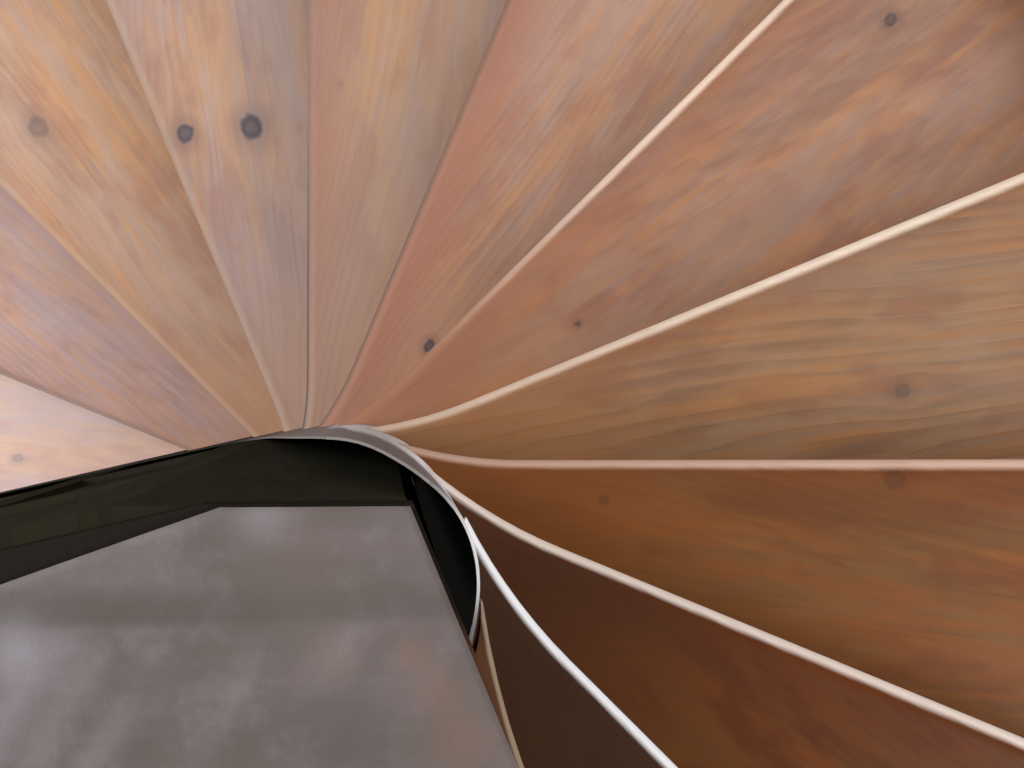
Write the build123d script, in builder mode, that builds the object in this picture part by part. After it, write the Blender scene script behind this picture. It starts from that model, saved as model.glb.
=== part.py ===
from build123d import *

import os
from math import acos, asin, atan2, cos, degrees, hypot, radians, sin, sqrt

# Timber spiral staircase that climbs clockwise, seen from above, round a narrow well.
# Eleven treads lead to a landing that fills the rest of the turn.
# The origin is on the axis of the turn at floor level, +Z is up, sizes are in millimetres.

# Rise and turn
riser_height = 200.0
tread_count = 11
steps_per_turn = 16
first_line_angle = 180.0
nosing_offset = 99.0

# Treads and risers
tread_thickness = 36.0
bullnose_radius = 17.0
nosing_overhang = 25.0
riser_thickness = 18.0
sweep_start = 208.0
sweep_radius = 555.0
sweep_end = 36.0
landing_nosing_offset = 91.0
landing_sweep_radius = 700.0
joint_clearance = 0.3

# Inner string, a thin board along the side wall that is bent round the well
well_radius = 129.5
well_shift_x = -4.0
well_shift_y = 4.0
inner_string_thickness = 3.0
inner_string_upstand = 35.0
wall_normal_angle = 103.0

# Its top edge rises from the line of the nosings, then runs nearly level round the well.
# Each point is a distance along the wall or an angle round the well, and a height in risers.
ramp_start_step = 1.5
ramp_points = ((195.0, 3.5), (152.0, 4.4), (113.0, 5.55), (60.0, 7.3), (25.0, 8.4))
crest_join = (52.0, 11.42)
bend_points = ((103.0, 9.2), (96.0, 9.65), (75.0, 10.7), (63.0, 11.2), crest_join)
crest_points = (crest_join, (30.0, 11.25), (10.0, 11.15), (-6.0, 11.15), (-23.0, 11.35), (-45.0, 11.6))
bend_view_angle = -10.0
crest_view_angle = -45.0

# Outer string
rim_radius = 1340.0
outer_string_thickness = 40.0
outer_string_upstand = 45.0
outer_string_depth = 335.0
outer_string_lengths = 3
outer_string_foot_angle = 164.5
outer_string_foot_span = 9.0
string_end_setback = 50.0

# Side wall and the boards round the core
side_wall_thickness = 40.0
core_back_inset = 41.0
core_front_inset = 47.0
core_front_end = 64.0
well_base_thickness = 30.0
core_board_thickness = 25.0
wall_frame_width = 95.0
wall_panel_recess = 10.0
wall_panel_columns = 3
wall_panel_rows = 3

# Posts, beams and joists
post_width = 90.0
post_setback = 7.0
beam_depth = 150.0
trimmer_thickness = 50.0
joist_thickness = 40.0
joist_count = 2
joist_start = 360.0
joist_spacing = 330.0
string_post_steps = (3, 6, 9)
string_post_lag = 13.0
string_post_gap = 1.0

# Landing
deck_wall_inset = 14.0
deck_back_overhang = 4.0
deck_front_overhang = 6.0
deck_well_overhang = 10.0
cover_thickness = 5.0
cover_margin = 10.0
cover_front_inset = 3.0
cover_back_inset = 2.0
cover_corner_reach = 99.0
cover_side_angle = 199.5

# Sizes that follow from the ones above
step_angle = 360.0 / steps_per_turn
landing_step = tread_count
landing_height = riser_height * (tread_count + 1)
landing_line_angle = first_line_angle - landing_step * step_angle
deck_underside = landing_height - tread_thickness
post_height = deck_underside - beam_depth
back_setback = nosing_overhang + riser_thickness
riser_face_height = riser_height - tread_thickness
trimmer_face = landing_nosing_offset - back_setback
outer_radius = rim_radius - outer_string_thickness
wall_angle = radians(wall_normal_angle)
wall_face_start = -well_shift_x * sin(wall_angle) + well_shift_y * cos(wall_angle)
wall_face_distance = well_radius + well_shift_x * cos(wall_angle) + well_shift_y * sin(wall_angle)
wall_distance = wall_face_distance - inner_string_thickness
well_inner_radius = well_radius - inner_string_thickness
core_back_distance = wall_distance - core_back_inset
core_front_distance = wall_distance - core_front_inset
deck_back_distance = core_back_distance + deck_back_overhang
deck_front_distance = core_front_distance + deck_front_overhang
cover_front_distance = deck_front_distance - cover_front_inset
cover_back_distance = deck_back_distance - cover_back_inset
tread_inner_radius = well_radius + joint_clearance
tread_wall_distance = wall_face_distance + joint_clearance
tread_outer_radius = outer_radius - joint_clearance
post_reach = rim_radius - post_setback
far = rim_radius * 1.3


def on_ring(radius, angle):
    """Point in plan at a radius and an angle round the axis."""
    return (radius * cos(radians(angle)), radius * sin(radians(angle)))


def on_line(step, along, beside):
    """Point in plan, along a step's nosing line and beside the axis towards the lower steps."""
    angle = radians(first_line_angle - step * step_angle)
    return (along * cos(angle) - beside * sin(angle), along * sin(angle) + beside * cos(angle))


def on_wall(along, out):
    """Point in plan, along the side wall from the well and out from the axis towards the treads."""
    angle = radians(wall_normal_angle)
    return (-along * sin(angle) + out * cos(angle), along * cos(angle) + out * sin(angle))


def landing_line_at(beside, y):
    """Point at a given y on a line beside the landing's nosing line."""
    angle = radians(landing_line_angle)
    return on_line(landing_step, (y - beside * cos(angle)) / sin(angle), beside)


def wall_along_at(out, y):
    """Distance along the side wall at which a line beside it has a given y."""
    angle = radians(wall_normal_angle)
    return (y - out * sin(angle)) / cos(angle)


def nosing_sizes(step):
    """Offset of a step's nosing from the axis and the radius of its sweep, which is flatter at the landing."""
    if step == landing_step:
        return landing_nosing_offset, landing_sweep_radius
    return nosing_offset, sweep_radius


def nosing_beside(step, along):
    """How far beside the axis a nosing runs: straight, then an arc that sweeps down the stair."""
    offset, radius = nosing_sizes(step)
    if along >= sweep_start:
        return offset
    return offset + radius - sqrt(radius**2 - (sweep_start - along) ** 2)


def string_hit(step):
    """Distance along the side wall at which a nosing meets the straight inner string."""
    angle = radians(first_line_angle - step * step_angle - wall_normal_angle)
    along = (wall_face_distance + nosing_offset * sin(angle)) / cos(angle)
    if along >= sweep_start:
        return along * sin(angle) + nosing_offset * cos(angle)
    centre_beside = nosing_offset + sweep_radius
    centre_along = sweep_start * sin(angle) + centre_beside * cos(angle)
    centre_out = sweep_start * cos(angle) - centre_beside * sin(angle)
    return centre_along - sqrt(sweep_radius**2 - (wall_face_distance - centre_out) ** 2)


def pitch_height(angle, first_angle):
    """Height of the line through the nosings at an angle, where the first nosing is at first_angle."""
    return riser_height * (1 + (first_angle - angle) / step_angle)


def draw_nosing(step, setback):
    """Draws a nosing line, moved back up the stair by a setback, from beyond the rim to the well."""
    offset, radius = nosing_sizes(step)
    beside = offset - setback
    centre = on_line(step, sweep_start, offset + radius)
    start_angle = first_line_angle - step * step_angle - 90
    sweep_span = degrees(asin((sweep_start - sweep_end) / radius))
    Line(on_line(step, far, beside), on_line(step, sweep_start, beside))
    return CenterArc(centre, radius + setback, start_angle, -sweep_span)


def fill_between(front_step, front_setback, back_step, back_line_setback):
    """Fills the plan between two nosing lines."""
    with BuildLine() as outline:
        front = draw_nosing(front_step, front_setback)
        back = draw_nosing(back_step, back_line_setback)
        Line(front @ 1, back @ 1)
        Line(
            on_line(front_step, far, nosing_sizes(front_step)[0] - front_setback),
            on_line(back_step, far, nosing_sizes(back_step)[0] - back_line_setback),
        )
    make_face(outline.edges())


def fill_corners(*corners, mode=Mode.ADD):
    """Fills or cuts a plan outline given by its corners."""
    with BuildLine() as outline:
        Polyline(*corners, close=True)
    make_face(outline.edges(), mode=mode)


def fill_ring(inner, outer, start, span, mode=Mode.ADD):
    """Fills or cuts the plan of a curved piece between two radii."""
    with BuildLine() as outline:
        inside = CenterArc((0, 0), inner, start, span)
        outside = CenterArc((0, 0), outer, start, span)
        Line(inside @ 0, outside @ 0)
        Line(inside @ 1, outside @ 1)
    make_face(outline.edges(), mode=mode)


def cut_core():
    """Cuts away the well and all that lies behind the straight inner string's face."""
    with Locations((well_shift_x, well_shift_y)):
        Circle(tread_inner_radius, mode=Mode.SUBTRACT)
    fill_corners(
        on_wall(wall_face_start, tread_wall_distance),
        on_wall(far, tread_wall_distance),
        on_wall(far, -far),
        on_wall(wall_face_start, -far),
        mode=Mode.SUBTRACT,
    )


def sweep_band(inner, outer, start, span, top_height, depth, mode=Mode.ADD):
    """Sweeps a string's upright section clockwise up round the axis from its start angle."""
    rise = riser_height * span / step_angle
    base = (0, 0, top_height - depth / 2)
    x, y = on_ring(1, start)
    with BuildLine() as path:
        climb = Helix(riser_height * steps_per_turn, rise, (inner + outer) / 2, center=base, lefthand=True)
    climb_start = degrees(atan2((climb @ 0).Y, (climb @ 0).X))
    with BuildSketch(Plane(origin=base, x_dir=(x, y, 0), z_dir=(y, -x, 0))) as section:
        with Locations(((inner + outer) / 2, 0)):
            Rectangle(outer - inner, depth)
    sweep(section.sketch, path=path.line.rotate(Axis.Z, start - climb_start), is_frenet=True, mode=mode)


def cut_above(points, view_angle, runs_on):
    """Cuts away all above an edge through points round the well, straight through in one view.

    Past the last point the cut ends, or runs on level.
    """
    view_x, view_y = on_ring(1, view_angle)
    edge_points = [
        (
            well_shift_x * view_x + well_shift_y * view_y + well_radius * cos(radians(angle - view_angle)),
            riser_height * risers,
        )
        for angle, risers in points
    ]
    with BuildSketch(Plane(origin=(0, 0, 0), x_dir=(view_x, view_y, 0), z_dir=(view_y, -view_x, 0))) as above:
        with BuildLine() as outline:
            edge = Spline(*edge_points)
            last = edge @ 1
            past = [(far, last.Y), (far, 2 * far)] if runs_on else [(last.X, 2 * far)]
            Polyline(last, *past, (-far, 2 * far), (-far, (edge @ 0).Y), edge @ 0)
        make_face(outline.edges())
    extrude(above.sketch, amount=far, both=True, mode=Mode.SUBTRACT)


def is_level(edge):
    """Whether both ends of an edge are at one height."""
    return abs((edge @ 0).Z - (edge @ 1).Z) < 1


def follows_nosing(edge, step):
    """Whether an edge lies along the front of a step."""
    middle = edge @ 0.5
    along = middle.dot(Vector(*on_line(step, 1, 0)))
    beside = middle.dot(Vector(*on_line(step, 0, 1)))
    return is_level(edge) and abs(beside - nosing_beside(step, along)) < 1


def follows_rim(edge):
    """Whether an edge lies along the outer rim."""
    middle = edge @ 0.5
    return is_level(edge) and abs(hypot(middle.X, middle.Y) - rim_radius) < 1


def save(piece, name):
    """Names a finished piece and writes it."""
    piece.part.label = name
    export_step(piece.part, f"parts/{name}.step")


os.makedirs("parts", exist_ok=True)

# Treads above the bottom step, each a bullnosed board from string to string
for step in range(1, tread_count):
    tread_plane = Plane.XY.offset(riser_height * (step + 1) - tread_thickness)
    with BuildPart() as tread:
        with BuildSketch(tread_plane):
            fill_between(step, 0, step + 1, back_setback)
        extrude(amount=tread_thickness)
        fillet([edge for edge in tread.edges() if follows_nosing(edge, step)], bullnose_radius)
        with BuildSketch(tread_plane):
            Circle(tread_outer_radius)
            cut_core()
        extrude(amount=tread_thickness, mode=Mode.INTERSECT)
    save(tread, f"tread_{step + 1:02d}")

# Risers under those treads, each standing on the back of the tread below
for step in range(1, tread_count):
    with BuildPart() as riser:
        with BuildSketch(Plane.XY.offset(riser_height * step)):
            fill_between(step, nosing_overhang, step, back_setback)
            Circle(tread_outer_radius, mode=Mode.INTERSECT)
            cut_core()
        extrude(amount=riser_face_height)
    save(riser, f"riser_{step + 1:02d}")

# Bottom step, a wide wedge that is entered over its curved outer edge
foot_clearance_angle = degrees(joint_clearance / outer_radius)
outer_string_top_angle = landing_line_angle + degrees(asin((trimmer_face + string_post_gap) / outer_radius))
outer_string_span = outer_string_foot_angle - outer_string_top_angle
with BuildPart() as bottom_tread:
    with BuildSketch(Plane.XY.offset(riser_height - tread_thickness)):
        fill_corners(
            on_line(1, 0, nosing_offset - back_setback),
            on_line(1, far, nosing_offset - back_setback),
            on_ring(2 * far, first_line_angle),
            on_wall(far, 0),
        )
        Circle(rim_radius, mode=Mode.INTERSECT)
        cut_core()
        fill_ring(
            tread_outer_radius,
            far,
            outer_string_foot_angle + foot_clearance_angle,
            -outer_string_span,
            mode=Mode.SUBTRACT,
        )
    extrude(amount=tread_thickness)
    fillet([edge for edge in bottom_tread.edges() if follows_rim(edge)], bullnose_radius)
save(bottom_tread, "tread_01")

# Curved riser under the bottom step's outer edge
bottom_riser_radius = rim_radius - nosing_overhang
bottom_riser_start = outer_string_foot_angle + foot_clearance_angle
with BuildPart() as bottom_riser:
    with BuildSketch():
        fill_ring(
            bottom_riser_radius - riser_thickness,
            bottom_riser_radius,
            bottom_riser_start,
            wall_normal_angle + 90 - bottom_riser_start,
        )
        cut_core()
    extrude(amount=riser_face_height)
save(bottom_riser, "riser_01")

# Riser under the landing's nosing, which reaches in behind the end of the inner string
with BuildPart() as landing_riser:
    with BuildSketch(Plane.XY.offset(riser_height * landing_step)):
        fill_between(landing_step, nosing_overhang, landing_step, back_setback)
        Circle(tread_outer_radius, mode=Mode.INTERSECT)
        with Locations((well_shift_x, well_shift_y)):
            Circle(well_inner_radius, mode=Mode.SUBTRACT)
    extrude(amount=riser_face_height)
save(landing_riser, f"riser_{landing_step + 1:02d}")

# Straight inner string, planted on the side wall
wall_plane = Plane(
    origin=(*on_wall(0, wall_distance), 0), x_dir=(*on_wall(1, 0), 0), z_dir=(*on_wall(0, 1), 0)
)
string_end = sqrt(rim_radius**2 - wall_face_distance**2) - string_end_setback
inner_string_low_top = riser_height + inner_string_upstand
nosing_steps = [ramp_start_step * part / 8 for part in range(8, -1, -1)]
with BuildPart() as straight_string:
    with BuildSketch(wall_plane):
        with BuildLine():
            top_edge = Spline(
                (wall_face_start, riser_height * bend_points[0][1]),
                *[(along, riser_height * risers) for along, risers in reversed(ramp_points)],
                *[(string_hit(step), inner_string_low_top + riser_height * step) for step in nosing_steps],
            )
            Polyline(
                top_edge @ 1,
                (string_end, inner_string_low_top),
                (string_end, 0),
                (wall_face_start, 0),
                top_edge @ 0,
            )
        make_face()
    extrude(amount=inner_string_thickness)
save(straight_string, "inner_string_straight")

# Bent inner string round the well, its top edge cut in two parts
with BuildPart() as wreath:
    with BuildSketch():
        with Locations((well_shift_x, well_shift_y)):
            Circle(well_radius)
            Circle(well_inner_radius, mode=Mode.SUBTRACT)
        fill_corners(
            on_wall(wall_face_start, far),
            on_wall(far, far),
            on_wall(far, -far),
            on_wall(wall_face_start, -far),
            mode=Mode.SUBTRACT,
        )
    extrude(amount=deck_underside)
    with BuildSketch():
        fill_between(landing_step, nosing_overhang - joint_clearance, landing_step + 4, 0)
        fill_corners(
            on_line(landing_step, 0, trimmer_face),
            on_line(landing_step, far, trimmer_face),
            on_line(landing_step, far, -far),
            on_line(landing_step, 0, -far),
        )
    extrude(amount=deck_underside, mode=Mode.SUBTRACT)
    cut_above(bend_points, bend_view_angle, runs_on=False)
    cut_above(crest_points, crest_view_angle, runs_on=True)
save(wreath, "inner_string_wreath")

# Outer string in equal lengths, the top one cut under the landing
outer_first_angle = first_line_angle + degrees(asin(nosing_offset / outer_radius))
length_span = outer_string_span / outer_string_lengths
for number in range(outer_string_lengths):
    length_start = outer_string_foot_angle - number * length_span
    length_top = pitch_height(length_start, outer_first_angle) + outer_string_upstand
    with BuildPart() as outer_string:
        sweep_band(outer_radius, rim_radius, length_start, length_span, length_top, outer_string_depth)
        if number == outer_string_lengths - 1:
            with BuildSketch(Plane.XY.offset(deck_underside - joint_clearance)):
                fill_between(landing_step, -joint_clearance, landing_step + 2, 0)
            extrude(amount=landing_height, mode=Mode.SUBTRACT)
    save(outer_string, f"outer_string_{number + 1}")

# Foot under the outer string's lower end, scribed to the string and standing on the floor
foot_top = pitch_height(outer_string_foot_angle, outer_first_angle) + outer_string_upstand
with BuildPart() as string_foot:
    with BuildSketch():
        fill_ring(outer_radius, rim_radius, outer_string_foot_angle, -outer_string_foot_span)
    extrude(amount=riser_height)
    sweep_band(
        outer_radius - string_post_gap,
        rim_radius + string_post_gap,
        outer_string_foot_angle,
        length_span,
        foot_top,
        outer_string_depth,
        mode=Mode.SUBTRACT,
    )
save(string_foot, "outer_string_foot")

# Framed and panelled side wall under the landing's left edge
wall_start = wall_along_at(wall_distance, core_back_distance)
wall_end = post_reach - post_width
wall_length = wall_end - wall_start
panel_width = (wall_length - wall_frame_width) / wall_panel_columns - wall_frame_width
panel_height = (deck_underside - wall_frame_width) / wall_panel_rows - wall_frame_width
with BuildPart() as side_wall:
    with BuildSketch(wall_plane):
        with Locations((wall_start, 0)):
            Rectangle(wall_length, deck_underside, align=Align.MIN)
    extrude(amount=-side_wall_thickness)
    for depth, cut in ((0, -wall_panel_recess), (-side_wall_thickness, wall_panel_recess)):
        with BuildSketch(wall_plane.offset(depth)):
            with Locations((wall_start + wall_length / 2, deck_underside / 2)):
                with GridLocations(
                    panel_width + wall_frame_width,
                    panel_height + wall_frame_width,
                    wall_panel_columns,
                    wall_panel_rows,
                ):
                    Rectangle(panel_width, panel_height)
        extrude(amount=cut, mode=Mode.SUBTRACT)
save(side_wall, "side_wall")

# Boards that close the core behind the curved string, mitred at their corner
core_back_inner = core_back_distance - core_board_thickness
core_front_inner = core_front_distance - core_board_thickness
mitre_outer = landing_line_at(core_front_distance, core_back_distance)
mitre_inner = landing_line_at(core_front_inner, core_back_inner)
wall_end_out = (core_back_inner - wall_start * cos(wall_angle)) / sin(wall_angle)
with BuildPart() as core_back:
    with BuildSketch():
        fill_corners(
            on_wall(wall_start, wall_distance), mitre_outer, mitre_inner, on_wall(wall_start, wall_end_out)
        )
    extrude(amount=deck_underside)
save(core_back, "core_board_back")

with BuildPart() as core_front:
    with BuildSketch():
        fill_corners(
            mitre_outer,
            mitre_inner,
            on_line(landing_step, core_front_end, core_front_inner),
            on_line(landing_step, core_front_end, core_front_distance),
        )
    extrude(amount=deck_underside)
save(core_front, "core_board_front")

# Board that closes the foot of the well
with BuildPart() as well_base:
    with BuildSketch():
        with Locations((well_shift_x, well_shift_y)):
            Circle(well_inner_radius - joint_clearance)
        fill_corners(
            on_wall(wall_face_start, wall_distance - joint_clearance),
            on_wall(wall_start, wall_distance - joint_clearance),
            on_wall(wall_face_start, core_back_distance),
        )
        fill_corners(
            on_line(landing_step, core_front_end + joint_clearance, core_front_distance + joint_clearance),
            landing_line_at(core_front_distance + joint_clearance, core_back_distance + joint_clearance),
            (-far, core_back_distance + joint_clearance),
            (-far, -far),
            on_line(landing_step, far, core_front_distance + joint_clearance),
            mode=Mode.SUBTRACT,
        )
    extrude(amount=well_base_thickness)
save(well_base, "well_base")

# Posts that carry the landing
with BuildPart() as core_post:
    with BuildSketch():
        fill_corners(
            on_line(landing_step, core_front_end, core_front_inner),
            on_line(landing_step, core_front_end - post_width, core_front_inner),
            on_line(landing_step, core_front_end - post_width, core_front_inner - post_width),
            on_line(landing_step, core_front_end, core_front_inner - post_width),
        )
    extrude(amount=post_height)
save(core_post, "core_post")

with BuildPart() as front_post:
    with BuildSketch():
        fill_corners(
            on_line(landing_step, post_reach, trimmer_face),
            on_line(landing_step, post_reach - post_width, trimmer_face),
            on_line(landing_step, post_reach - post_width, trimmer_face - post_width),
            on_line(landing_step, post_reach, trimmer_face - post_width),
        )
    extrude(amount=post_height)
save(front_post, "landing_post_front")

with BuildPart() as wall_post:
    with BuildSketch():
        fill_corners(
            on_wall(post_reach, wall_distance),
            on_wall(post_reach - post_width, wall_distance),
            on_wall(post_reach - post_width, wall_distance - post_width),
            on_wall(post_reach, wall_distance - post_width),
        )
    extrude(amount=post_height)
save(wall_post, "landing_post_wall")

rim_beam_end = wall_normal_angle + degrees(acos(wall_distance / rim_radius)) - 360
landing_middle_angle = (outer_string_top_angle + rim_beam_end) / 2
with BuildPart() as rim_post:
    with BuildSketch(Plane.XY.rotated((0, 0, landing_middle_angle))):
        with Locations((post_reach - post_width / 2, 0)):
            Rectangle(post_width, post_width)
    extrude(amount=post_height)
save(rim_post, "landing_post_rim")

# Posts under the outer string, each up to the underside of a tread
for number, step in enumerate(string_post_steps):
    angle = outer_first_angle - step * step_angle - string_post_lag
    with BuildPart() as string_post:
        with BuildSketch(Plane.XY.rotated((0, 0, angle))):
            with Locations((outer_radius - string_post_gap - post_width / 2, 0)):
                Rectangle(post_width, post_width)
        extrude(amount=riser_height * (step + 1) - tread_thickness)
    save(string_post, f"string_post_{number + 1}")

# Beams under the landing
with BuildPart() as trimmer:
    with BuildSketch(Plane.XY.offset(post_height)):
        fill_corners(
            on_line(landing_step, core_front_end - post_width, trimmer_face),
            on_line(landing_step, far, trimmer_face),
            on_line(landing_step, far, trimmer_face - trimmer_thickness),
            on_line(landing_step, core_front_end - post_width, trimmer_face - trimmer_thickness),
        )
        Circle(outer_radius - joint_clearance, mode=Mode.INTERSECT)
    extrude(amount=beam_depth)
save(trimmer, "landing_trimmer")

with BuildPart() as rim_beam:
    with BuildSketch(Plane.XY.offset(post_height)):
        fill_ring(outer_radius, rim_radius, outer_string_top_angle, rim_beam_end - outer_string_top_angle)
    extrude(amount=beam_depth)
save(rim_beam, "landing_rim_beam")

for number in range(joist_count):
    with BuildPart() as joist:
        with BuildSketch(Plane.XY.offset(post_height).rotated((0, 0, landing_middle_angle))):
            with Locations((joist_start + number * joist_spacing, 0)):
                Rectangle(joist_thickness, 2 * rim_radius)
        extrude(amount=beam_depth)
        with BuildSketch(Plane.XY.offset(post_height)):
            fill_corners(
                on_line(landing_step, -far, trimmer_face - trimmer_thickness),
                on_line(landing_step, far, trimmer_face - trimmer_thickness),
                on_line(landing_step, far, 2 * far),
                on_line(landing_step, -far, 2 * far),
            )
            fill_corners(
                on_wall(-far, wall_distance - side_wall_thickness),
                on_wall(far, wall_distance - side_wall_thickness),
                on_wall(far, 2 * far),
                on_wall(-far, 2 * far),
            )
        extrude(amount=beam_depth, mode=Mode.SUBTRACT)
    save(joist, f"landing_joist_{number + 1}")

# Landing boards, bullnosed over the top riser
deck_out = wall_distance - deck_wall_inset
landing_far_corner = on_ring(2 * far, landing_middle_angle)
core_corner = landing_line_at(deck_front_distance, deck_back_distance)
with BuildPart() as deck:
    with BuildSketch(Plane.XY.offset(deck_underside)):
        with BuildLine() as deck_outline:
            deck_front = draw_nosing(landing_step, 0)
            Polyline(
                deck_front @ 1,
                core_corner,
                on_wall(wall_along_at(deck_out, deck_back_distance), deck_out),
                on_wall(far, deck_out),
                landing_far_corner,
                on_line(landing_step, far, landing_nosing_offset),
            )
        make_face()
        Circle(rim_radius, mode=Mode.INTERSECT)
    extrude(amount=tread_thickness)
    fillet([edge for edge in deck.edges() if follows_nosing(edge, landing_step)], bullnose_radius)
    with BuildSketch(Plane.XY.offset(deck_underside)):
        with Locations((well_shift_x, well_shift_y)):
            Circle(tread_inner_radius - deck_well_overhang)
        fill_corners(
            core_corner,
            on_line(landing_step, far, deck_front_distance),
            landing_far_corner,
            (-far, deck_back_distance),
            mode=Mode.SUBTRACT,
        )
    extrude(amount=tread_thickness, mode=Mode.SUBTRACT)
save(deck, "landing_deck")

# Floor covering on the landing, cut back from its edges
cover_side = radians(cover_side_angle)
with BuildPart() as cover:
    with BuildSketch(Plane.XY.offset(landing_height)):
        fill_corners(
            landing_line_at(cover_front_distance, cover_back_distance),
            (-cover_corner_reach, cover_back_distance),
            (far * cos(cover_side) - cover_corner_reach, far * sin(cover_side) + cover_back_distance),
            landing_far_corner,
            on_line(landing_step, far, cover_front_distance),
        )
        Circle(rim_radius - cover_margin, mode=Mode.INTERSECT)
    extrude(amount=cover_thickness)
save(cover, "landing_cover")
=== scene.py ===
"""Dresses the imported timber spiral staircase: pine, strings, wall, covering, light and camera.

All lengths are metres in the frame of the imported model: Z up, the axis of the turn at the origin.
"""

from __future__ import annotations

import logging
import math
from dataclasses import dataclass
from enum import Enum
from typing import Any, Union

import bpy
import numpy as np
from mathutils import Matrix, Vector

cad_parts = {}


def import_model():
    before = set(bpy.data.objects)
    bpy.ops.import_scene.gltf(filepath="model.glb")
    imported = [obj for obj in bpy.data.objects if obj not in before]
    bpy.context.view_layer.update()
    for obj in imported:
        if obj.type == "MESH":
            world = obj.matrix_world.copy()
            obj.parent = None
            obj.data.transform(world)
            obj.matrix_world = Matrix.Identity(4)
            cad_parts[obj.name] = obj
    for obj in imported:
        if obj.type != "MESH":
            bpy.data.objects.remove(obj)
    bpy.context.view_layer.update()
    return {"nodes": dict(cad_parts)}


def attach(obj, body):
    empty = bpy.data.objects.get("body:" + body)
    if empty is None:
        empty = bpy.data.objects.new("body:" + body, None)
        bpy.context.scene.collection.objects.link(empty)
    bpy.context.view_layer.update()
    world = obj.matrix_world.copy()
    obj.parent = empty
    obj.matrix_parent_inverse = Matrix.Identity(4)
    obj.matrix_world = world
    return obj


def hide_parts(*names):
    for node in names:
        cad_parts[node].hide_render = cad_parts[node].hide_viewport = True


LOG = logging.getLogger("staircase")
Colour = tuple[float, float, float]
Point = tuple[float, float, float]
Number = Union[float, "Value"]

# Sockets of the Mix node for colours, which has several of each name.
MIX_FACTOR = 0
MIX_FIRST = 6
MIX_SECOND = 7
MIX_RESULT = 2


class Grain(Enum):
    """How a board's grain runs."""

    PLAN = "along a direction in plan"
    UPRIGHT = "straight up"
    ROUND = "round the axis, climbing with the steps"


@dataclass(frozen=True)
class Turn:
    """The plan of the turn, with the same named sizes as the solids."""

    rise: float = 0.2
    step_angle: float = 22.5
    first_line: float = 180.0
    nosing_offset: float = 0.099
    sweep_start: float = 0.208
    sweep_radius: float = 0.555
    landing_offset: float = 0.091
    landing_sweep: float = 0.700
    well_radius: float = 0.1295
    well_shift: tuple[float, float] = (-0.004, 0.004)
    wall_normal: float = 103.0
    tread_count: int = 11

    def line_angle(self, step: float) -> float:
        """Direction in plan of a step's nosing line, in degrees."""
        return self.first_line - step * self.step_angle


class Value:
    """A number socket of a shader, so that shader maths reads as ordinary expressions."""

    def __init__(self, sheet: "Sheet", socket: bpy.types.NodeSocket) -> None:
        """Keeps the socket and the sheet that it is on."""
        self.sheet = sheet
        self.socket = socket

    def __add__(self, other: Number) -> "Value":
        """Sum."""
        return self.sheet.math("ADD", self, other)

    __radd__ = __add__

    def __mul__(self, other: Number) -> "Value":
        """Product."""
        return self.sheet.math("MULTIPLY", self, other)

    __rmul__ = __mul__

    def __sub__(self, other: Number) -> "Value":
        """Difference."""
        return self.sheet.math("SUBTRACT", self, other)

    def __rsub__(self, other: Number) -> "Value":
        """Difference with the value second."""
        return self.sheet.math("SUBTRACT", other, self)

    def __truediv__(self, other: Number) -> "Value":
        """Quotient."""
        return self.sheet.math("DIVIDE", self, other)

    def step(self, low: float, high: float) -> "Value":
        """Smooth step from 0 at low to 1 at high, or falling where low is above high.

        Args:
            low: Where the result is 0.
            high: Where the result is 1.

        Returns:
            The eased value, within 0 and 1.
        """
        if low > high:
            return 1.0 - self.step(high, low)
        node = self.sheet.node(
            "ShaderNodeMapRange",
            {"interpolation_type": "SMOOTHSTEP", "clamp": True},
            {"Value": self, "From Min": low, "From Max": high, "To Min": 0.0, "To Max": 1.0},
        )
        return Value(self.sheet, node.outputs["Result"])


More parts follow.
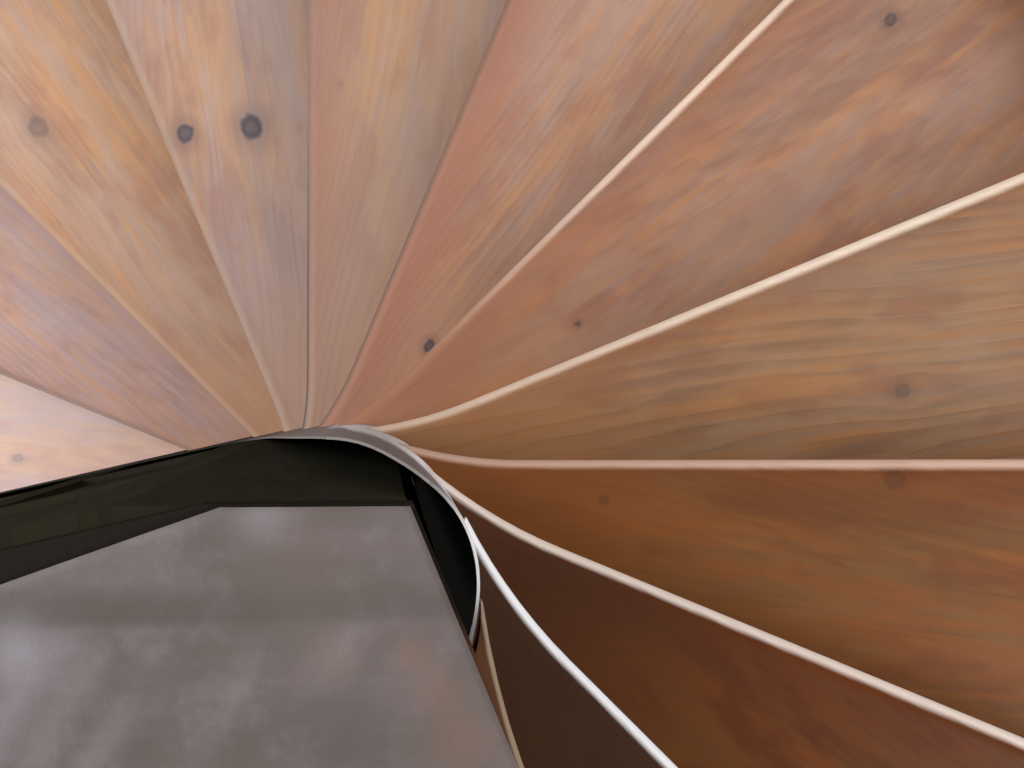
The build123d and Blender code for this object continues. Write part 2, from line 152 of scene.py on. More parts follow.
class Sheet:
    """One material's nodes, with short ways to add the kinds that the finishes use."""

    def __init__(self, name: str) -> None:
        """Makes an empty node material with its shader and output.

        Args:
            name: The material's name.
        """
        self.material = bpy.data.materials.new(name)
        self.material.use_nodes = True
        self.tree = self.material.node_tree
        self.tree.nodes.clear()
        self.shader = self.node("ShaderNodeBsdfPrincipled", {}, {})
        self.node("ShaderNodeOutputMaterial", {}, {"Surface": self.shader.outputs["BSDF"]})

    def node(self, kind: str, settings: dict[str, Any], inputs: dict[Any, Any]) -> bpy.types.Node:
        """Adds any node.

        Args:
            kind: Its type name.
            settings: Attributes, set first.
            inputs: Socket name or index to a value, a Value or a socket.

        Returns:
            The new node.
        """
        node = self.tree.nodes.new(kind)
        for key, setting in settings.items():
            setattr(node, key, setting)
        for key, value in inputs.items():
            self.put(node.inputs[key], value)
        return node

    def put(self, socket: bpy.types.NodeSocket, value: Any) -> None:
        """Links a Value or socket to a socket, or sets a plain value on it.

        Args:
            socket: The input socket.
            value: What it gets.
        """
        if isinstance(value, Value):
            self.tree.links.new(value.socket, socket)
        elif isinstance(value, bpy.types.NodeSocket):
            self.tree.links.new(value, socket)
        elif isinstance(value, tuple) and socket.type == "RGBA" and len(value) == 3:
            socket.default_value = (*value, 1.0)
        else:
            socket.default_value = value

    def shade(self, name: str, value: Any) -> None:
        """Feeds one socket of the shader."""
        self.put(self.shader.inputs[name], value)

    def math(self, operation: str, *terms: Number) -> Value:
        """Adds a Math node.

        Args:
            operation: Its operation.
            terms: Numbers or Values, in socket order.

        Returns:
            The result.
        """
        node = self.node("ShaderNodeMath", {"operation": operation}, dict(enumerate(terms)))
        return Value(self, node.outputs[0])

    def place(self, angle: float = 0.0) -> tuple[Value, Value, Value]:
        """Object coordinates along a direction in plan.

        Args:
            angle: The direction in degrees, from +X.

        Returns:
            Distance along it, beside it to the left, and height.
        """
        coords = self.node("ShaderNodeTexCoord", {}, {})
        turned = self.node(
            "ShaderNodeMapping",
            {"vector_type": "POINT"},
            {"Vector": coords.outputs["Object"], "Rotation": (0.0, 0.0, -math.radians(angle))},
        )
        split = self.node("ShaderNodeSeparateXYZ", {}, {"Vector": turned.outputs["Vector"]})
        return tuple(Value(self, split.outputs[axis]) for axis in "XYZ")

    def vector(self, x: Number, y: Number, z: Number) -> bpy.types.NodeSocket:
        """Joins three numbers to a vector."""
        return self.node("ShaderNodeCombineXYZ", {}, {"X": x, "Y": y, "Z": z}).outputs["Vector"]

    def noise(self, vector: Any, scale: float, detail: float = 2.0, rough: float = 0.5) -> Value:
        """Smooth noise about 0.5.

        Args:
            vector: Where it is read.
            scale: Features a metre.
            detail: Octaves.
            rough: Weight of the finer octaves.

        Returns:
            The noise.
        """
        inputs = {"Vector": vector, "Scale": scale, "Detail": detail, "Roughness": rough}
        node = self.node("ShaderNodeTexNoise", {}, inputs)
        return Value(self, node.outputs["Fac"])

    def mix(self, factor: Number, first: Any, second: Any) -> bpy.types.NodeSocket:
        """Mixes two colours.

        Args:
            factor: Share of the second.
            first: Colour or socket.
            second: Colour or socket.

        Returns:
            The mixed colour.
        """
        node = self.node(
            "ShaderNodeMix",
            {"data_type": "RGBA", "clamp_factor": True},
            {MIX_FACTOR: factor, MIX_FIRST: first, MIX_SECOND: second},
        )
        return node.outputs[MIX_RESULT]

    def bump(self, height: Value, distance: float, strength: float = 1.0) -> None:
        """Feeds the shader's normal from a height of 0 to 1.

        Args:
            height: The height.
            distance: The full height in metres.
            strength: Share of the effect.
        """
        node = self.node(
            "ShaderNodeBump", {}, {"Height": height, "Distance": distance, "Strength": strength}
        )
        self.shade("Normal", node.outputs["Normal"])


@dataclass(frozen=True)
class Fade:
    """A share that rises or falls smoothly between two values of a number."""

    start: float
    full: float
    share: float = 1.0

    def of(self, value: Value) -> Value:
        """The share at a value: none at the start, the whole share at the full end."""
        eased = value.step(self.start, self.full)
        return eased if self.share == 1.0 else eased * self.share


@dataclass(frozen=True)
class Layer:
    """Noise drawn out along a board: its stretches, its seed, and its size and octaves."""

    along: float
    across: float
    seed: float
    scale: float
    detail: float = 2.0
    rough: float = 0.5

    def on(self, along: Value, across: Value, depth: Number) -> Value:
        """The noise at a place on the board.

        Args:
            along: The way along the grain.
            across: The way across it.
            depth: The board's seed, plus the depth where the noise changes through the board.

        Returns:
            Noise about 0.5.
        """
        sheet = along.sheet
        spot = sheet.vector(along * self.along, across * self.across, depth + self.seed)
        return sheet.noise(spot, self.scale, self.detail, self.rough)


@dataclass(frozen=True)
class Knot:
    """A knot in a board: its place in plan and its size."""

    x: float
    y: float
    radius: float
    darkness: float = 1.0


@dataclass(frozen=True)
class PineTone:
    """The colours of one board, from its middle colour."""

    middle: Colour
    cool_share: float = 0.5
    contrast: float = 1.0

    def scaled(self, red: float, green: float, blue: float) -> Colour:
        """The middle colour with its channels scaled, more or less strongly by the contrast."""
        scales = (red, green, blue)
        return tuple(part * scale**self.contrast for part, scale in zip(self.middle, scales))

    @property
    def glow(self) -> Colour:
        """The colour of orange stretches, where the varnish is whole."""
        return self.scaled(1.16, 0.97, 0.70)

    @property
    def cool(self) -> Colour:
        """The colour of greyish stretches: hazy varnish, and painted sheen of daylight on it."""
        return self.scaled(0.88, 0.95, 1.16)

    @property
    def pale(self) -> Colour:
        """The colour of pale early wood."""
        return self.scaled(1.20, 1.19, 1.14)

    @property
    def rich(self) -> Colour:
        """The colour of redder wood under whole varnish."""
        return self.scaled(0.78, 0.57, 0.53)

    @property
    def haze(self) -> Colour:
        """The colour of pale stretches: pale blotches, and the painted sheen at the back of a
        tread.
        """
        return self.scaled(1.14, 1.18, 1.20)

    @property
    def deep(self) -> Colour:
        """The colour of late wood, fibres, dirt and painted shade."""
        return self.scaled(0.62, 0.52, 0.48)

    @property
    def knot(self) -> Colour:
        """The colour of a knot."""
        return self.scaled(0.20, 0.24, 0.36)


@dataclass(frozen=True)
class WearAndLightEdge:
    """A pale strip along a nosing, part wear and part painted light, its share near the well, and a
    painted shadow line on its nose.
    """

    width: float
    strength: float
    colour: Colour
    near: float = 1.0
    # Share of the painted shadow line on the nose.
    nose_shadow: float = 0.0


@dataclass(frozen=True)
class PineFigure:
    """How old pine is drawn: the noises that bend and stain it, and where each colour shows."""

    wander: Layer = Layer(0.8, 1.6, 0.0, 1.5, 1.0)
    ring_drift: Layer = Layer(0.7, 11.0, 0.0, 3.0)
    drift: Layer = Layer(0.9, 6.5, 7.0, 1.9, 4.0, 0.62)
    cloud: Layer = Layer(1.1, 3.0, 5.0, 2.6, 3.0, 0.6)
    dusk: Layer = Layer(1.4, 4.0, 15.0, 2.3, 3.0, 0.55)
    lanes: Layer = Layer(1.5, 24.0, 25.0, 3.0, 3.0, 0.65)
    blotch: Layer = Layer(3.2, 8.0, 35.0, 2.0, 3.0, 0.6)
    board_bend: float = 0.10
    heart_bend: float = 0.03
    flatness: float = 0.35
    ring_sway: float = 1.6
    late_wood: Fade = Fade(0.15, 0.85)
    ring_end: Fade = Fade(1.0, 0.90)
    fibres: Layer = Layer(1.6, 75.0, 0.0, 2.2, 5.0, 0.7)
    knot_pull: float = 0.75
    knot_reach: float = 3.2
    knot_fray: float = 0.010
    knot_disc: Fade = Fade(1.35, 0.7)
    knot_heart: Fade = Fade(0.7, 0.2, 0.15)
    knot_halo: Fade = Fade(2.8, 0.9, 0.30)
    knot_share: float = 0.95
    plain_wood: Fade = Fade(0.42, 0.58)
    cool_wood: Fade = Fade(0.44, 0.60)
    dusky_wood: Fade = Fade(0.50, 0.66, 0.45)
    ringed_wood: Fade = Fade(0.30, 0.60)
    dark_fibres: Fade = Fade(0.50, 0.78, 0.38)
    pale_fibres: Fade = Fade(0.46, 0.22, 0.35)
    red_blotch: Fade = Fade(0.50, 0.66)
    pale_blotch: Fade = Fade(0.46, 0.32, 0.8)


@dataclass(frozen=True)
class TreadWear:
    """Where wear, painted shade and painted sheen mark a tread: metres behind its nosing, before
    the next or along.

    The painted well shade, the dark beyond, the strip and the darkening behind it are in shares of
    their own reach or width.
    """

    # Darkening just before the next riser: partly dirt, partly painted shade under the next nosing.
    grime_and_shade: Fade = Fade(0.05, 0.0, 0.16)
    well_glow: Fade = Fade(0.50, 0.20, 0.60)
    whole: Fade = Fade(0.13, 0.01)
    # A pale band at the back of a tread, before the next riser: painted sheen of the window's
    # light.
    back_sheen: Fade = Fade(0.20, 0.04)
    # Near-black towards the well: painted shade of the well.
    well_shade: Fade = Fade(1.0, 0.3)
    # Near-black beyond a set distance behind the nosing: painted shade.
    beyond: Fade = Fade(0.6, 1.0)
    fray: Layer = Layer(3.0, 30.0, 0.0, 4.0, 2.0, 0.7)
    fray_depth: float = 0.003
    least_width: float = 0.85
    widening: Fade = Fade(0.05, 0.9, 0.30)
    strip: Fade = Fade(1.30, 0.45)
    off_well: Fade = Fade(0.15, 0.85)
    # Darkens the wood just behind the pale strip.
    darker_behind_strip: Fade = Fade(3.0, 1.2, 0.18)
    # A dark line right at the nose: painted shadow.
    nose_shadow_depth: Fade = Fade(0.0050, 0.0015)
    nose_shadow_run: Fade = Fade(0.70, 0.35)
    nose: Fade = Fade(0.024, 0.010)


@dataclass(frozen=True)
class PineFinish:
    """Old varnished knotty pine, pale along a nosing from wear and painted light."""

    name: str
    tone: PineTone
    grain: Grain = Grain.PLAN
    angle: float = 0.0
    seed: float = 0.0
    heart: float = 0.1
    slope: float = 0.03
    rings: float = 150.0
    ring_share: float = 0.22
    knots: tuple[Knot, ...] = ()
    wear_and_light: WearAndLightEdge | None = None
    step: int = 0
    fresh: float = 0.3
    # Share of the painted sheen at the back of the tread.
    haze: float = 0.0
    # Share and reach of the painted shade towards the well.
    well_shade: float = 0.0
    well_shade_reach: float = 0.52
    dark_beyond: float = 0.0
    mottle: float = 0.45
    # The near-black of the painted shade.
    black: Colour = (0.016, 0.013, 0.010)
    rough: float = 0.36
    coat: float = 0.08
    gloss: float = 0.30
    turn: Turn = Turn()
    cloud_rough: float = 0.22
    streak_rough: float = 0.06
    nose_rough: float = 0.42
    coat_rough: float = 0.28
    relief: float = 0.0006
    relief_share: float = 0.55
    pattern: PineFigure = PineFigure()
    use: TreadWear = TreadWear()

    def lengthwise(self, sheet: Sheet) -> tuple[Value, Value, Value]:
        """Coordinates along the grain, across it and through the board.

        Args:
            sheet: The material's nodes.

        Returns:
            The three, in metres.
        """
        if self.grain is Grain.PLAN:
            return sheet.place(self.angle)
        x, y, z = sheet.place(self.angle)
        if self.grain is Grain.UPRIGHT:
            return z, x, y
        around = sheet.math("ARCTAN2", y, x)
        radius = sheet.math("SQRT", x * x + y * y)
        climb = self.turn.rise / math.radians(self.turn.step_angle)
        return around * radius, z + around * climb, radius

    def knot_mark(self, knot: Knot, along: Value, across: Value) -> tuple[Value, Value]:
        """A knot's mark and its pull on the grain.

        The mark is a ragged disc with a faint halo, paler at its heart. The pull is the distance
        across times a bell about the knot, twice as long as wide.

        Args:
            knot: The knot.
            along: The way along the grain.
            across: The way across it.

        Returns:
            The mark, from 0 to 1, and the pull in metres.
        """
        sheet, pattern, radius = along.sheet, self.pattern, knot.radius
        turn = math.radians(self.angle)
        off_along = along - (knot.x * math.cos(turn) + knot.y * math.sin(turn))
        off_across = across - (knot.y * math.cos(turn) - knot.x * math.sin(turn))
        reach = radius * pattern.knot_reach
        far = off_along * off_along / (4.0 * reach**2) + off_across * off_across / reach**2
        bell = sheet.math("EXPONENT", far * -1.0)
        round_off = sheet.math("SQRT", off_along * off_along * 0.7 + off_across * off_across)
        fray = sheet.noise(sheet.vector(along, across, self.seed + 3.0), 60.0) - 0.5
        radii = (round_off + fray * pattern.knot_fray) / radius
        disc = pattern.knot_disc.of(radii) * (1.0 - pattern.knot_heart.of(radii))
        mark = sheet.math("MAXIMUM", disc, pattern.knot_halo.of(radii)) * knot.darkness
        return mark, off_across * bell * pattern.knot_pull

    def figure(self, sheet: Sheet) -> tuple[Value, Value, Value, Number]:
        """Growth rings as a saw cuts them, fibre streaks, broad drift of colour and knots.

        A ring's number is the distance to a heart line that dips slowly through the board, so the
        rings come out as long arches. Near a knot the distance across is pulled in, so that they
        part round it.

        Args:
            sheet: The material's nodes.

        Returns:
            Rings, streaks, drift and knots, each from 0 to 1.
        """
        pattern, seed = self.pattern, self.seed
        along, across, deep = self.lengthwise(sheet)
        wander = pattern.wander.on(along, across, seed) - 0.5
        bent = across + wander * pattern.board_bend
        knots: Number = 0.0
        for knot in self.knots:
            mark, pull = self.knot_mark(knot, along, across)
            bent = bent - pull
            knots = sheet.math("MAXIMUM", knots, mark)
        heart = along * self.slope + self.heart + wander * pattern.heart_bend
        ring = sheet.math("SQRT", bent * bent * pattern.flatness + heart * heart)
        sway = pattern.ring_drift.on(along, across, seed) * pattern.ring_sway
        phase = sheet.math("FRACT", ring * self.rings + sway)
        rings = pattern.late_wood.of(phase) * pattern.ring_end.of(phase)
        streaks = pattern.fibres.on(along, bent, deep * pattern.fibres.across + seed)
        drift = pattern.drift.on(along, bent, seed)
        return rings, streaks, drift, knots

    def nosing_distance(self, sheet: Sheet, step: int) -> tuple[Value, Value]:
        """Distance in plan behind a step's nosing line.

        The line is straight beyond the sweep's start and an arc of the sweep's radius inside it:
        offset plus radius, less the root of radius squared less distance inside the start squared.

        Args:
            sheet: The material's nodes.
            step: The step.

        Returns:
            The distance, 0 on the line and growing up the stair, and the way along the line.
        """
        turn = self.turn
        landing = step == turn.tread_count
        offset = turn.landing_offset if landing else turn.nosing_offset
        radius = turn.landing_sweep if landing else turn.sweep_radius
        along, beside, _ = sheet.place(turn.line_angle(step))
        inside = sheet.math("MAXIMUM", turn.sweep_start - along, 0.0)
        arc = sheet.math("SQRT", sheet.math("MAXIMUM", radius**2 - inside * inside, 0.0))
        return offset + radius - arc - beside, along

    def wear(self, sheet: Sheet, colour: Any, streaks: Value) -> tuple[Any, Value]:
        """Adds wear and painted light to a tread: a pale nose strip, dirt and painted shade, whole
        varnish at the well.

        Args:
            sheet: The material's nodes.
            colour: The wood's colour so far.
            streaks: The fibre streaks.

        Returns:
            The changed colour and the share of the rounded nose.
        """
        along, across, _ = self.lengthwise(sheet)
        use, tone, wear_and_light = self.use, self.tone, self.wear_and_light
        back, run = self.nosing_distance(sheet, self.step)
        ahead, _ = self.nosing_distance(sheet, self.step + 1)
        short = ahead * -1.0
        # Darker just before the next riser: dirt and painted shade under its nosing.
        colour = sheet.mix(use.grime_and_shade.of(short), colour, tone.deep)
        colour = sheet.mix(use.well_glow.of(run), colour, tone.glow)
        colour = sheet.mix(use.whole.of(back) * self.fresh, colour, tone.rich)
        # Painted sheen: paler at the back of the tread, just before the next riser.
        colour = sheet.mix(use.back_sheen.of(short) * self.haze, colour, tone.haze)
        # Painted shade: near-black towards the well.
        colour = sheet.mix(use.well_shade.of(run / self.well_shade_reach) * self.well_shade, colour, self.black)
        # Painted shade: near-black beyond a set distance behind the nosing.
        if self.dark_beyond:
            colour = sheet.mix(use.beyond.of(back / self.dark_beyond), colour, self.black)
        fray = use.fray.on(along, across, self.seed) - 0.5
        width = (use.widening.of(run) + use.least_width) * wear_and_light.width
        widths = (back + fray * use.fray_depth) / width
        nearness = use.off_well.of(run) * (1.0 - wear_and_light.near) + wear_and_light.near
        strip = use.strip.of(widths) * wear_and_light.strength * nearness
        # Darker wood just behind the pale strip.
        colour = sheet.mix(use.darker_behind_strip.of(widths), colour, tone.deep)
        # The nose strip: wear, with a painted highlight on the upper steps and painted dullness on
        # the middle ones.
        colour = sheet.mix(strip * (0.72 + streaks * 0.4), colour, wear_and_light.colour)
        # Painted shadow: a dark line right at the nose.
        nose_shadow = use.nose_shadow_depth.of(back) * use.nose_shadow_run.of(run) * wear_and_light.nose_shadow
        return sheet.mix(nose_shadow, colour, tone.knot), use.nose.of(back)

    def stained(self, sheet: Sheet, cloud: Value) -> tuple[Any, Value, Value, Number]:
        """The wood's own colour: the noises of the pattern laid over its middle tone, one by one.

        Args:
            sheet: The material's nodes.
            cloud: The broadest noise, which the roughness shares.

        Returns:
            The colour, and the rings, streaks and knots.
        """
        pattern, tone, seed = self.pattern, self.tone, self.seed
        rings, streaks, drift, knots = self.figure(sheet)
        along, across, _ = self.lengthwise(sheet)
        dusk = pattern.dusk.on(along, across, seed)
        lanes = pattern.lanes.on(along, across, seed)
        blotch = pattern.blotch.on(along, across, seed)
        few_lanes = lanes * 0.3
        plain = pattern.plain_wood.of(drift * 0.6 + lanes * 0.4)
        colour = sheet.mix(plain, tone.glow, tone.middle)
        # Greyish stretches: hazy varnish, and painted sheen of daylight on the varnish.
        cool = pattern.cool_wood.of(cloud * 0.7 + few_lanes) * tone.cool_share
        colour = sheet.mix(cool, colour, tone.cool)
        colour = sheet.mix(pattern.dusky_wood.of(dusk * 0.7 + few_lanes), colour, tone.deep)
        late = rings * self.ring_share * pattern.ringed_wood.of(dusk)
        colour = sheet.mix(late, colour, tone.deep)
        colour = sheet.mix(pattern.dark_fibres.of(streaks), colour, tone.deep)
        colour = sheet.mix(pattern.pale_fibres.of(streaks), colour, tone.pale)
        colour = sheet.mix(pattern.red_blotch.of(blotch) * self.mottle, colour, tone.rich)
        colour = sheet.mix(pattern.pale_blotch.of(blotch) * self.mottle, colour, tone.haze)
        return colour, rings, streaks, knots

    def make(self) -> bpy.types.Material:
        """Builds the material.

        Returns:
            The finished material.
        """
        sheet = Sheet(self.name)
        along, across, deep = self.lengthwise(sheet)
        cloud = self.pattern.cloud.on(along, across, deep + self.seed)
        colour, rings, streaks, knots = self.stained(sheet, cloud)
        rough = self.rough + (cloud - 0.5) * self.cloud_rough + streaks * self.streak_rough
        coat: Number = self.coat
        if self.wear_and_light is not None:
            colour, nose = self.wear(sheet, colour, streaks)
            rough = rough + nose * self.nose_rough
            coat = (1.0 - nose) * self.coat
        colour = sheet.mix(knots * self.pattern.knot_share, colour, self.tone.knot)
        sheet.shade("Base Color", colour)
        sheet.shade("Roughness", rough)
        sheet.shade("Specular IOR Level", self.gloss)
        sheet.shade("Coat Weight", coat)
        sheet.shade("Coat Roughness", self.coat_rough)
        height = streaks * 0.55 + (1.0 - rings) * (self.ring_share * 2.0) + knots * 0.6
        sheet.bump(height, self.relief, self.relief_share)
        return sheet.material


@dataclass(frozen=True)
class BentBoardFinish:
    """Inner string: painted silvery sheen towards the treads, painted shade within, painted
    highlight on top.
    """

    name: str
    turn: Turn = Turn()
    # Silver and slate: painted sheen and reflection of daylight on the varnish; steel and mauve
    # make the face.
    silver: Colour = (0.94, 0.94, 0.96)
    steel: Colour = (0.110, 0.102, 0.102)
    mauve: Colour = (0.160, 0.135, 0.126)
    slate: Colour = (0.23, 0.23, 0.29)
    # A painted highlight on the top edge, fading to a duller edge out of its arc.
    edge_highlight: Colour = (0.86, 0.84, 0.82)
    dull_edge: Colour = (0.20, 0.175, 0.160)
    # Near-black of the hidden side: painted shade of the well.
    shade_within: Colour = (0.025, 0.022, 0.016)
    curved: bool = True
    ramp_fade: Fade = Fade(0.26, 0.104)
    mottle: Fade = Fade(0.3, 0.7)
    sheen_streaks: Fade = Fade(0.50, 0.85, 0.20)
    slate_arc: Fade = Fade(62.0, 40.0, 0.85)
    under_nosings: Fade = Fade(-0.30, -0.05)
    low_zone: Fade = Fade(0.80, 0.64)
    low_zone_drop: Fade = Fade(90.0, 104.0, 0.15)
    middle_arc: Fade = Fade(116.0, 100.0, 0.55)
    right_arc: Fade = Fade(74.0, 52.0, 0.45)
    edge_highlight_arc: Fade = Fade(62.0, 18.0)
    top_edge_highlight: Fade = Fade(0.08, 0.14)
    outward: Fade = Fade(0.4, 0.7)
    rub: Layer = Layer(0.05, 9.0, 0.0, 5.0, 4.0, 0.6)
    brush: Layer = Layer(0.012, 60.0, 2.0, 4.0, 3.0)
    rough: float = 0.88
    polish: float = 0.45
    rub_rough: float = 0.1
    gloss: float = 0.12
    relief: float = 0.0004
    relief_share: float = 0.4

    def make(self) -> bpy.types.Material:
        """Builds the material: the normal tells the treads' side, the hidden side and the edge.

        Returns:
            The finished material.
        """
        sheet = Sheet(self.name)
        turn = self.turn
        x, y, z = sheet.place()
        normal = sheet.node("ShaderNodeNewGeometry", {}, {}).outputs["True Normal"]
        split = sheet.node("ShaderNodeSeparateXYZ", {}, {"Vector": normal})
        normal_x, normal_y, normal_z = (Value(sheet, split.outputs[axis]) for axis in "XYZ")
        reach: Number = 1.0
        if self.curved:
            off_x = x - turn.well_shift[0]
            off_y = y - turn.well_shift[1]
            facing = (normal_x * off_x + normal_y * off_y) / turn.well_radius
        else:
            wall = math.radians(turn.wall_normal)
            facing = normal_x * math.cos(wall) + normal_y * math.sin(wall)
            along, _, _ = sheet.place(turn.wall_normal + 90.0)
            reach = self.ramp_fade.of(along)
        angle = sheet.math("ARCTAN2", y, x) * (180.0 / math.pi)
        above = z - ((turn.first_line - angle) * (turn.rise / turn.step_angle) + turn.rise)
        rub = self.rub.on(angle, z, 0.0)
        brush = self.brush.on(angle, z, 0.0)
        shown = self.under_nosings.of(above)
        face = sheet.mix(self.mottle.of(rub), self.mauve, self.steel)
        # Painted reflection and sheen: bluish on the right, silvery streaks, and a silvery
        # highlight band just above the treads.
        face = sheet.mix(self.slate_arc.of(angle) * shown, face, self.slate)
        face = sheet.mix(self.sheen_streaks.of(brush), face, self.silver)
        low = self.low_zone.of(above + self.low_zone_drop.of(angle)) * shown
        highlight_band = low * (self.middle_arc.of(angle) + self.right_arc.of(angle))
        face = sheet.mix(highlight_band, face, self.silver)
        # The hidden side is painted near-black as the well's shade; the treads' side gets the
        # painted face.
        outside = self.outward.of(facing) * reach
        # Painted highlight along the top edge within an arc, duller elsewhere.
        rim = sheet.mix(self.edge_highlight_arc.of(angle), self.dull_edge, self.edge_highlight)
        colour = sheet.mix(outside, self.shade_within, face)
        colour = sheet.mix(self.top_edge_highlight.of(normal_z) * reach, colour, rim)
        sheet.shade("Base Color", colour)
        sheet.shade("Roughness", self.rough - outside * self.polish + rub * self.rub_rough)
        sheet.shade("Specular IOR Level", self.gloss)
        sheet.bump(brush, self.relief, self.relief_share)
        return sheet.material


@dataclass(frozen=True)
class Patch:
    """A soft patch of another colour on a flat piece, by its middle in plan."""

    x: float
    y: float
    radius: float
    colour: Colour
    share: float


@dataclass(frozen=True)
class CoverFinish:
    """The landing's grey-brown covering: mottled, faded in patches, with painted shade in its
    creases and painted light and shade on its ripples.
    """

    name: str
    base: Colour = (0.136, 0.104, 0.101)
    light: Colour = (0.192, 0.163, 0.168)
    shade: Colour = (0.100, 0.079, 0.068)
    # Painted shade of the creases.
    crease: Colour = (0.066, 0.053, 0.042)
    fold_y: float = 0.004
    lean: float = 63.0
    mottle: Layer = Layer(1.0, 2.6, 0.0, 5.0, 3.0, 0.6)
    fading: Layer = Layer(1.0, 1.0, 4.0, 26.0, 4.0, 0.65)
    pile: Layer = Layer(1.0, 1.0, 0.0, 620.0, 2.0, 0.6)
    ripple: Layer = Layer(5.0, 17.0, 0.0, 1.0, 1.0)
    front_side: Fade = Fade(0.0, -0.02)
    crease_back: Fade = Fade(0.032, 0.008)
    crease_front: Fade = Fade(-0.012, 0.0)
    darker: Fade = Fade(0.36, 0.64)
    faded: Fade = Fade(0.45, 0.75, 0.40)
    crests: Fade = Fade(0.50, 0.70, 0.55)
    troughs: Fade = Fade(0.50, 0.34, 0.60)
    pile_tips: Fade = Fade(0.35, 0.7, 0.20)
    west: Fade = Fade(0.02, -0.20, 0.35)
    creased: float = 0.35
    rough: float = 0.80
    pile_rough: float = 0.12
    sheen: float = 0.10
    relief: float = 0.0022
    relief_share: float = 0.5

    def patches(self) -> list[Patch]:
        """Soft patches of other colours laid over the sheet: orange, paler and darker ones.

        Returns:
            The patches, in the order in which they are laid on.
        """
        orange = (0.215, 0.110, 0.070)
        return [
            Patch(0.058, -0.030, 0.016, orange, 0.45),
            Patch(0.078, -0.058, 0.018, orange, 0.40),
            Patch(0.098, -0.100, 0.030, orange, 0.40),
            Patch(-0.005, -0.035, 0.022, (0.200, 0.145, 0.110), 0.40),
            Patch(0.003, -0.092, 0.045, (0.082, 0.064, 0.056), 0.60),
            Patch(-0.063, 0.086, 0.024, (0.240, 0.205, 0.220), 0.60),
            Patch(-0.260, -0.022, 0.026, (0.260, 0.235, 0.255), 0.65),
            Patch(-0.030, 0.045, 0.045, (0.170, 0.115, 0.090), 0.25),
            Patch(-0.560, -0.400, 0.140, (0.180, 0.140, 0.120), 0.40),
            Patch(0.150, -0.700, 0.120, (0.090, 0.070, 0.060), 0.40),
            Patch(-0.250, -0.900, 0.120, (0.190, 0.160, 0.150), 0.40),
        ]

    def make(self) -> bpy.types.Material:
        """Builds the material.

        Returns:
            The finished material.
        """
        sheet = Sheet(self.name)
        x, y, z = sheet.place()
        along, across, _ = sheet.place(self.lean)
        pile = self.pile.on(x, y, z)
        ripple = self.ripple.on(along, across, z)
        off_fold = y - self.fold_y
        below = self.front_side.of(off_fold)
        colour = sheet.mix(self.darker.of(self.mottle.on(x, y, z)), self.shade, self.base)
        colour = sheet.mix(self.faded.of(self.fading.on(x, y, z)), colour, self.light)
        # Painted light and shade on the ripples in front of the fold: lighter crests, darker
        # troughs.
        colour = sheet.mix(below * self.crests.of(ripple), colour, self.light)
        colour = sheet.mix(below * self.troughs.of(ripple), colour, self.shade)
        # Painted shade in the crease along the fold, deeper towards the west.
        gather = self.crease_back.of(off_fold) * self.crease_front.of(off_fold)
        colour = sheet.mix(gather * (self.west.of(x) + self.creased), colour, self.crease)
        for mark in self.patches():
            off_x, off_y = x - mark.x, y - mark.y
            far = (off_x * off_x + off_y * off_y) * (-1.0 / mark.radius**2)
            colour = sheet.mix(sheet.math("EXPONENT", far) * mark.share, colour, mark.colour)
        colour = sheet.mix(self.pile_tips.of(pile), colour, self.shade)
        sheet.shade("Base Color", colour)
        sheet.shade("Roughness", self.rough + pile * self.pile_rough)
        sheet.shade("Sheen Weight", self.sheen)
        sheet.bump(below * ripple * 0.7 + pile * 0.3, self.relief, self.relief_share)
        return sheet.material


def add_mesh(
    name: str, points: np.ndarray, faces: list[list[int]], material: bpy.types.Material
) -> bpy.types.Object:
    """Adds a piece to the scene.

    Args:
        name: Its name.
        points: Its points, one a row.
        faces: Its faces as point numbers, anticlockwise from outside.
        material: Its finish.

    Returns:
        The new object, at the origin, unturned.
    """
    mesh = bpy.data.meshes.new(name)
    mesh.from_pydata(points.tolist(), [], faces)
    mesh.materials.append(material)
    mesh.validate()
    piece = bpy.data.objects.new(name, mesh)
    bpy.context.scene.collection.objects.link(piece)
    return piece


@dataclass(frozen=True)
class Fold:
    """A low crease in a laid sheet, from one point in plan to another."""

    start: tuple[float, float]
    end: tuple[float, float]
    width: float
    height: float

    def lift(self, x: np.ndarray, y: np.ndarray) -> np.ndarray:
        """Height of the crease: a bell across the segment that dies away at both of its ends.

        Args:
            x: Places along X.
            y: Places along Y.

        Returns:
            The lift at each place.
        """
        reach = np.subtract(self.end, self.start)
        length = float(np.hypot(*reach))
        way = ((x - self.start[0]) * reach[0] + (y - self.start[1]) * reach[1]) / length**2
        off = ((x - self.start[0]) * reach[1] - (y - self.start[1]) * reach[0]) / length
        inside = np.clip(way, 0.0, 1.0)
        past = (way - inside) * length
        fade = np.sin(np.pi * (0.12 + 0.76 * inside)) ** 0.8
        return self.height * fade * np.exp(-((off**2 + past**2) / self.width**2))


